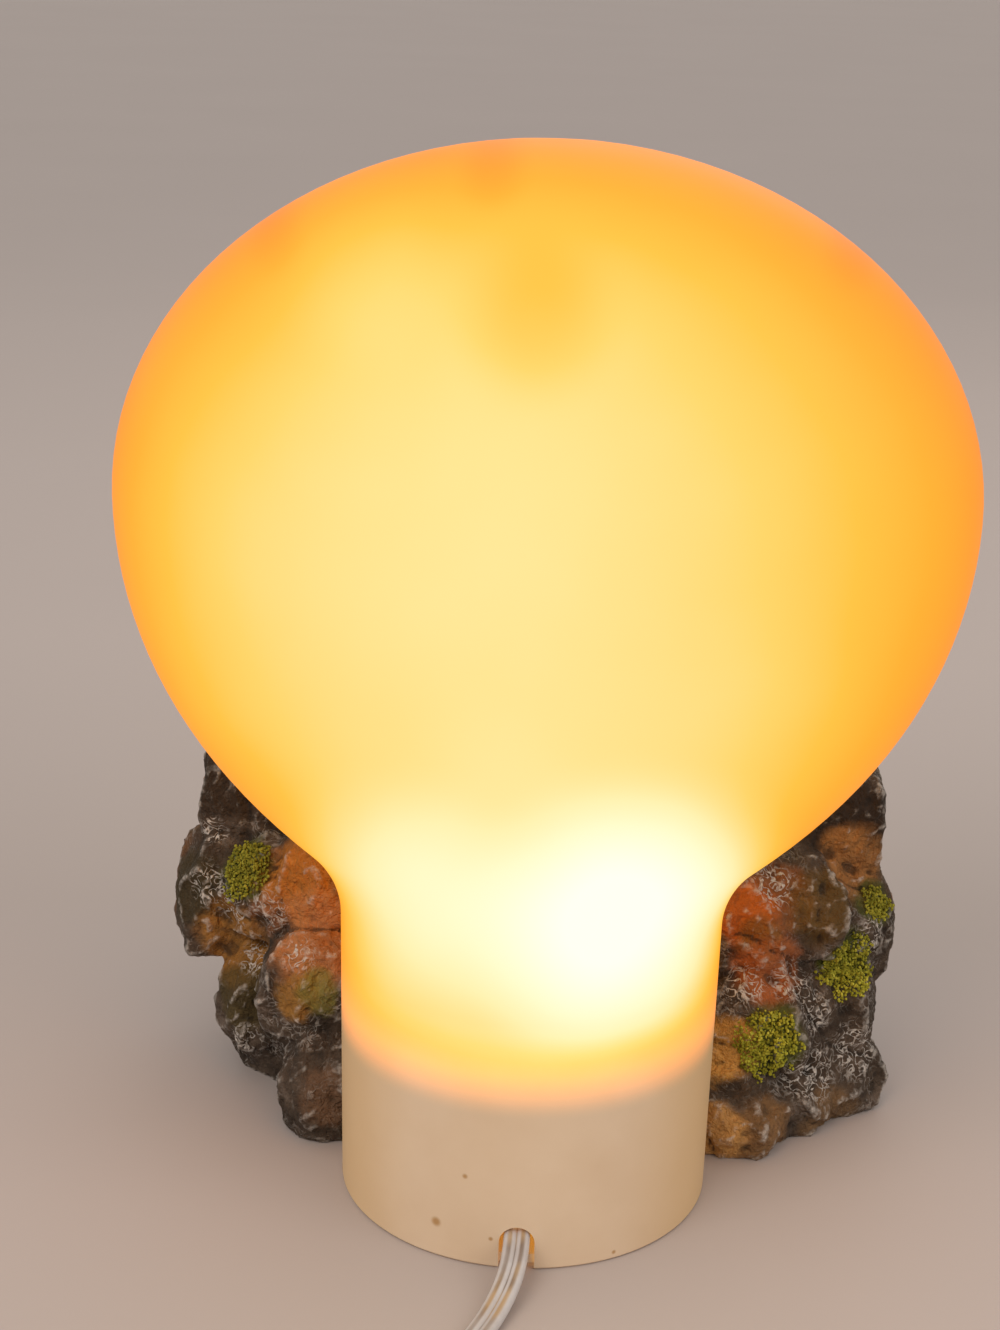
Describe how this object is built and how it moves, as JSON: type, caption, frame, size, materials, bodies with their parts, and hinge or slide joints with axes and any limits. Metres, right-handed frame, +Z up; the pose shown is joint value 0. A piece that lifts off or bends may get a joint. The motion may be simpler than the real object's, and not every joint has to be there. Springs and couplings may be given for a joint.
{
  "type": "night light",
  "caption": "Night light: lit translucent dome on a round neck, painted rock ledge in front, clear flat cord with a thumbwheel switch and a flat plug.",
  "frame": {"origin": "on the neck's axis at table height, centre of the foot cover", "axes": "+Z up, -Y to the back where the cord leaves, +Y to the front where the rock ledge stands"},
  "size_m": [0.1703, 0.2969, 0.2134],
  "materials": {
    "shell_resin": "cast translucent resin, satin, lit from inside",
    "painted_rock": "cast resin painted as rock, dry-brushed, matt",
    "moss_flock": "dyed flock crumbs, dull",
    "white_abs": "moulded ABS, fine matt texture",
    "phenolic": "moulded phenolic, dull",
    "spring_steel": "rolled spring steel",
    "brass": "stamped brass",
    "cap_metal": "drawn aluminium",
    "black_glass": "fused black glass",
    "clear_glass": "blown clear glass",
    "tungsten": "drawn tungsten wire",
    "cord_pvc": "clear PVC over copper strands",
    "switch_plastic": "moulded ivory plastic, soft gloss",
    "screw_steel": "zinc-plated steel",
    "tie_plastic": "white coated wire tie"
  },
  "bodies": {
    "root": {"lamp_shell": "shell_resin", "rock_base": "painted_rock", "moss_pads": "moss_flock", "lamp_plate": "white_abs", "base_cover": "white_abs", "socket_body": "phenolic", "socket_clips": "spring_steel", "socket_thread_shell": "brass", "socket_centre_contact": "brass", "bulb_glass": "clear_glass", "bulb_cap": "cap_metal", "bulb_insulator": "black_glass", "bulb_tip": "cap_metal", "bulb_stem": "clear_glass", "bulb_leads": "tungsten", "bulb_filament": "tungsten", "cord_inside": "cord_pvc", "cord_lamp_side": "cord_pvc", "switch_base": "switch_plastic", "switch_cover": "switch_plastic", "switch_axle": "screw_steel", "switch_contacts": "brass", "switch_screws": "screw_steel", "cord_switch_side": "cord_pvc", "cord_coil": "cord_pvc", "coil_tie": "tie_plastic", "cord_plug_side": "cord_pvc", "plug_body": "switch_plastic", "plug_blades": "brass"},
    "thumbwheel": {"switch_wheel": "switch_plastic"}
  },
  "joints": [
    {"name": "thumbwheel_turn", "type": "hinge", "parent": "root", "child": "thumbwheel", "pos_m": [-0.02325, -0.11905, 0.006], "axis": [0, 0, 1], "continuous": true}
  ]
}
